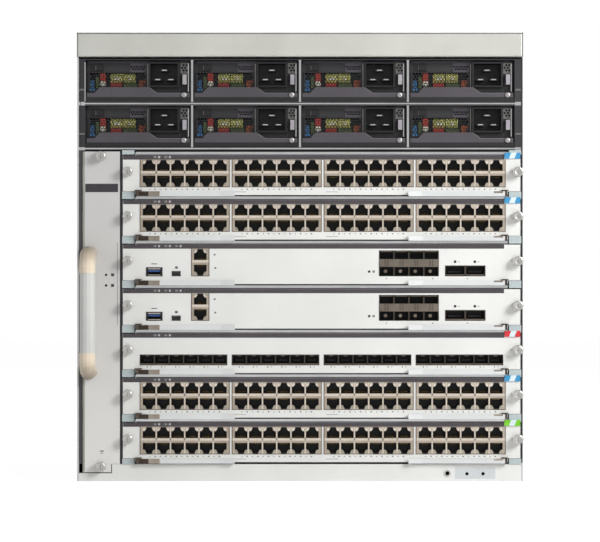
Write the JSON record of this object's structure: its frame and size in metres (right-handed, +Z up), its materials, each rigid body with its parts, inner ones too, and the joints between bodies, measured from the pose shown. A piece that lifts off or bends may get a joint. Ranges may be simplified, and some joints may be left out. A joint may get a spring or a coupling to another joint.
{
  "type": "modular chassis switch",
  "caption": "Rack chassis with stacked sliding line cards full of network sockets, two rows of plug-in power supplies and a side fan tray with a pull handle.",
  "frame": {"origin": "centre of the bottom of the bounding box, on the surface that the chassis stands on", "axes": "+Z up, -Y out of the front with the ports, +X to the viewer's right when facing the front"},
  "size_m": [0.4394, 0.45, 0.4422],
  "materials": {
    "galvanised_steel": "satin zinc",
    "silver_paint": "satin silver",
    "dark_paint": "dark satin",
    "rail_steel": "pale satin",
    "circuit_board": "solder mask",
    "faceplate_paint": "satin white silver",
    "nickel_plate": "bright nickel",
    "grey_plastic": "moulded",
    "black_plastic": "moulded",
    "connector_shell": "tinned",
    "indicator": "lens"
  },
  "bodies": {
    "chassis": {"base_pan": "galvanised_steel", "left_side_panel": "galvanised_steel", "right_side_panel": "galvanised_steel", "top_cover": "galvanised_steel", "rear_panel": "galvanised_steel", "top_bezel": "silver_paint", "power_cage": "dark_paint", "card_cage": "rail_steel", "backplane": "circuit_board"},
    "line_card_1": {"line_card_1": "faceplate_paint", "line_card_1_board": "circuit_board"},
    "line_card_1_lever_left": {"line_card_1_lever_left": "nickel_plate"},
    "line_card_1_lever_right": {"line_card_1_lever_right": "nickel_plate"},
    "line_card_2": {"line_card_2": "faceplate_paint", "line_card_2_board": "circuit_board"},
    "line_card_2_lever_left": {"line_card_2_lever_left": "nickel_plate"},
    "line_card_2_lever_right": {"line_card_2_lever_right": "nickel_plate"},
    "supervisor_3": {"supervisor_3": "faceplate_paint", "supervisor_3_board": "circuit_board"},
    "supervisor_3_lever_left": {"supervisor_3_lever_left": "nickel_plate"},
    "supervisor_3_lever_right": {"supervisor_3_lever_right": "nickel_plate"},
    "supervisor_4": {"supervisor_4": "faceplate_paint", "supervisor_4_board": "circuit_board"},
    "supervisor_4_lever_left": {"supervisor_4_lever_left": "nickel_plate"},
    "supervisor_4_lever_right": {"supervisor_4_lever_right": "nickel_plate"},
    "fibre_card_5": {"fibre_card_5": "faceplate_paint", "fibre_card_5_board": "circuit_board"},
    "fibre_card_5_lever_left": {"fibre_card_5_lever_left": "nickel_plate"},
    "fibre_card_5_lever_right": {"fibre_card_5_lever_right": "nickel_plate"},
    "line_card_6": {"line_card_6": "faceplate_paint", "line_card_6_board": "circuit_board"},
    "line_card_6_lever_left": {"line_card_6_lever_left": "nickel_plate"},
    "line_card_6_lever_right": {"line_card_6_lever_right": "nickel_plate"},
    "line_card_7": {"line_card_7": "faceplate_paint", "line_card_7_board": "circuit_board"},
    "line_card_7_lever_left": {"line_card_7_lever_left": "nickel_plate"},
    "line_card_7_lever_right": {"line_card_7_lever_right": "nickel_plate"},
    "power_supply_1": {"power_supply_1": "dark_paint"},
    "power_supply_1_latch": {"power_supply_1_latch": "grey_plastic"},
    "power_supply_2": {"power_supply_2": "dark_paint"},
    "power_supply_2_latch": {"power_supply_2_latch": "grey_plastic"},
    "power_supply_3": {"power_supply_3": "dark_paint"},
    "power_supply_3_latch": {"power_supply_3_latch": "grey_plastic"},
    "power_supply_4": {"power_supply_4": "dark_paint"},
    "power_supply_4_latch": {"power_supply_4_latch": "grey_plastic"},
    "power_supply_5": {"power_supply_5": "dark_paint"},
    "power_supply_5_latch": {"power_supply_5_latch": "grey_plastic"},
    "power_supply_6": {"power_supply_6": "dark_paint"},
    "power_supply_6_latch": {"power_supply_6_latch": "grey_plastic"},
    "power_supply_7": {"power_supply_7": "dark_paint"},
    "power_supply_7_latch": {"power_supply_7_latch": "grey_plastic"},
    "power_supply_8": {"power_supply_8": "dark_paint"},
    "power_supply_8_latch": {"power_supply_8_latch": "grey_plastic"},
    "fan_tray": {"fan_tray": "faceplate_paint"},
    "fan_rotor_1": {"fan_rotor_1": "black_plastic"},
    "fan_rotor_2": {"fan_rotor_2": "black_plastic"},
    "fan_rotor_3": {"fan_rotor_3": "black_plastic"},
    "fan_rotor_4": {"fan_rotor_4": "black_plastic"},
    "fan_rotor_5": {"fan_rotor_5": "black_plastic"},
    "fan_rotor_6": {"fan_rotor_6": "black_plastic"}
  },
  "joints": [
    {"name": "line_card_1_slide", "type": "slide", "parent": "chassis", "child": "line_card_1", "axis": [0, -1, 0], "range_m": [0, 0.36]},
    {"name": "line_card_1_lever_left_swing", "type": "hinge", "parent": "line_card_1", "child": "line_card_1_lever_left", "pos_m": [-0.1592, -0.192, 0.2833], "axis": [0, 0, -1], "range_deg": [0, 75]},
    {"name": "line_card_1_lever_right_swing", "type": "hinge", "parent": "line_card_1", "child": "line_card_1_lever_right", "pos_m": [0.2018, -0.192, 0.2833], "axis": [0, 0, 1], "range_deg": [0, 75]},
    {"name": "line_card_2_slide", "type": "slide", "parent": "chassis", "child": "line_card_2", "axis": [0, -1, 0], "range_m": [0, 0.36]},
    {"name": "line_card_2_lever_left_swing", "type": "hinge", "parent": "line_card_2", "child": "line_card_2_lever_left", "pos_m": [-0.1592, -0.192, 0.2394], "axis": [0, 0, -1], "range_deg": [0, 75]},
    {"name": "line_card_2_lever_right_swing", "type": "hinge", "parent": "line_card_2", "child": "line_card_2_lever_right", "pos_m": [0.2018, -0.192, 0.2394], "axis": [0, 0, 1], "range_deg": [0, 75]},
    {"name": "supervisor_3_slide", "type": "slide", "parent": "chassis", "child": "supervisor_3", "axis": [0, -1, 0], "range_m": [0, 0.36]},
    {"name": "supervisor_3_lever_left_swing", "type": "hinge", "parent": "supervisor_3", "child": "supervisor_3_lever_left", "pos_m": [-0.1592, -0.192, 0.1955], "axis": [0, 0, -1], "range_deg": [0, 75]},
    {"name": "supervisor_3_lever_right_swing", "type": "hinge", "parent": "supervisor_3", "child": "supervisor_3_lever_right", "pos_m": [0.2018, -0.192, 0.1955], "axis": [0, 0, 1], "range_deg": [0, 75]},
    {"name": "supervisor_4_slide", "type": "slide", "parent": "chassis", "child": "supervisor_4", "axis": [0, -1, 0], "range_m": [0, 0.36]},
    {"name": "supervisor_4_lever_left_swing", "type": "hinge", "parent": "supervisor_4", "child": "supervisor_4_lever_left", "pos_m": [-0.1592, -0.192, 0.1516], "axis": [0, 0, -1], "range_deg": [0, 75]},
    {"name": "supervisor_4_lever_right_swing", "type": "hinge", "parent": "supervisor_4", "child": "supervisor_4_lever_right", "pos_m": [0.2018, -0.192, 0.1516], "axis": [0, 0, 1], "range_deg": [0, 75]},
    {"name": "fibre_card_5_slide", "type": "slide", "parent": "chassis", "child": "fibre_card_5", "axis": [0, -1, 0], "range_m": [0, 0.36]},
    {"name": "fibre_card_5_lever_left_swing", "type": "hinge", "parent": "fibre_card_5", "child": "fibre_card_5_lever_left", "pos_m": [-0.1592, -0.192, 0.1077], "axis": [0, 0, -1], "range_deg": [0, 75]},
    {"name": "fibre_card_5_lever_right_swing", "type": "hinge", "parent": "fibre_card_5", "child": "fibre_card_5_lever_right", "pos_m": [0.2018, -0.192, 0.1077], "axis": [0, 0, 1], "range_deg": [0, 75]},
    {"name": "line_card_6_slide", "type": "slide", "parent": "chassis", "child": "line_card_6", "axis": [0, -1, 0], "range_m": [0, 0.36]},
    {"name": "line_card_6_lever_left_swing", "type": "hinge", "parent": "line_card_6", "child": "line_card_6_lever_left", "pos_m": [-0.1592, -0.192, 0.0638], "axis": [0, 0, -1], "range_deg": [0, 75]},
    {"name": "line_card_6_lever_right_swing", "type": "hinge", "parent": "line_card_6", "child": "line_card_6_lever_right", "pos_m": [0.2018, -0.192, 0.0638], "axis": [0, 0, 1], "range_deg": [0, 75]},
    {"name": "line_card_7_slide", "type": "slide", "parent": "chassis", "child": "line_card_7", "axis": [0, -1, 0], "range_m": [0, 0.36]},
    {"name": "line_card_7_lever_left_swing", "type": "hinge", "parent": "line_card_7", "child": "line_card_7_lever_left", "pos_m": [-0.1592, -0.192, 0.0199], "axis": [0, 0, -1], "range_deg": [0, 75]},
    {"name": "line_card_7_lever_right_swing", "type": "hinge", "parent": "line_card_7", "child": "line_card_7_lever_right", "pos_m": [0.2018, -0.192, 0.0199], "axis": [0, 0, 1], "range_deg": [0, 75]},
    {"name": "power_supply_1_slide", "type": "slide", "parent": "chassis", "child": "power_supply_1", "axis": [0, -1, 0], "range_m": [0, 0.34]},
    {"name": "power_supply_1_latch_press", "type": "slide", "parent": "power_supply_1", "child": "power_supply_1_latch", "axis": [-1, 0, 0], "range_m": [0, 0.0025], "stiffness_N_per_m": 400},
    {"name": "power_supply_2_slide", "type": "slide", "parent": "chassis", "child": "power_supply_2", "axis": [0, -1, 0], "range_m": [0, 0.34]},
    {"name": "power_supply_2_latch_press", "type": "slide", "parent": "power_supply_2", "child": "power_supply_2_latch", "axis": [-1, 0, 0], "range_m": [0, 0.0025], "stiffness_N_per_m": 400},
    {"name": "power_supply_3_slide", "type": "slide", "parent": "chassis", "child": "power_supply_3", "axis": [0, -1, 0], "range_m": [0, 0.34]},
    {"name": "power_supply_3_latch_press", "type": "slide", "parent": "power_supply_3", "child": "power_supply_3_latch", "axis": [-1, 0, 0], "range_m": [0, 0.0025], "stiffness_N_per_m": 400},
    {"name": "power_supply_4_slide", "type": "slide", "parent": "chassis", "child": "power_supply_4", "axis": [0, -1, 0], "range_m": [0, 0.34]},
    {"name": "power_supply_4_latch_press", "type": "slide", "parent": "power_supply_4", "child": "power_supply_4_latch", "axis": [-1, 0, 0], "range_m": [0, 0.0025], "stiffness_N_per_m": 400},
    {"name": "power_supply_5_slide", "type": "slide", "parent": "chassis", "child": "power_supply_5", "axis": [0, -1, 0], "range_m": [0, 0.34]},
    {"name": "power_supply_5_latch_press", "type": "slide", "parent": "power_supply_5", "child": "power_supply_5_latch", "axis": [-1, 0, 0], "range_m": [0, 0.0025], "stiffness_N_per_m": 400},
    {"name": "power_supply_6_slide", "type": "slide", "parent": "chassis", "child": "power_supply_6", "axis": [0, -1, 0], "range_m": [0, 0.34]},
    {"name": "power_supply_6_latch_press", "type": "slide", "parent": "power_supply_6", "child": "power_supply_6_latch", "axis": [-1, 0, 0], "range_m": [0, 0.0025], "stiffness_N_per_m": 400},
    {"name": "power_supply_7_slide", "type": "slide", "parent": "chassis", "child": "power_supply_7", "axis": [0, -1, 0], "range_m": [0, 0.34]},
    {"name": "power_supply_7_latch_press", "type": "slide", "parent": "power_supply_7", "child": "power_supply_7_latch", "axis": [-1, 0, 0], "range_m": [0, 0.0025], "stiffness_N_per_m": 400},
    {"name": "power_supply_8_slide", "type": "slide", "parent": "chassis", "child": "power_supply_8", "axis": [0, -1, 0], "range_m": [0, 0.34]},
    {"name": "power_supply_8_latch_press", "type": "slide", "parent": "power_supply_8", "child": "power_supply_8_latch", "axis": [-1, 0, 0], "range_m": [0, 0.0025], "stiffness_N_per_m": 400},
    {"name": "fan_tray_slide", "type": "slide", "parent": "chassis", "child": "fan_tray", "axis": [0, -1, 0], "range_m": [0, 0.34]},
    {"name": "fan_rotor_1_spin", "type": "hinge", "parent": "fan_tray", "child": "fan_rotor_1", "pos_m": [-0.1985, -0.103, 0.06685], "axis": [1, 0, 0], "continuous": true},
    {"name": "fan_rotor_2_spin", "type": "hinge", "parent": "fan_tray", "child": "fan_rotor_2", "pos_m": [-0.1985, 0.037, 0.06685], "axis": [1, 0, 0], "continuous": true},
    {"name": "fan_rotor_3_spin", "type": "hinge", "parent": "fan_tray", "child": "fan_rotor_3", "pos_m": [-0.1985, -0.103, 0.16785], "axis": [1, 0, 0], "continuous": true},
    {"name": "fan_rotor_4_spin", "type": "hinge", "parent": "fan_tray", "child": "fan_rotor_4", "pos_m": [-0.1985, 0.037, 0.16785], "axis": [1, 0, 0], "continuous": true},
    {"name": "fan_rotor_5_spin", "type": "hinge", "parent": "fan_tray", "child": "fan_rotor_5", "pos_m": [-0.1985, -0.103, 0.26885], "axis": [1, 0, 0], "continuous": true},
    {"name": "fan_rotor_6_spin", "type": "hinge", "parent": "fan_tray", "child": "fan_rotor_6", "pos_m": [-0.1985, 0.037, 0.26885], "axis": [1, 0, 0], "continuous": true}
  ]
}
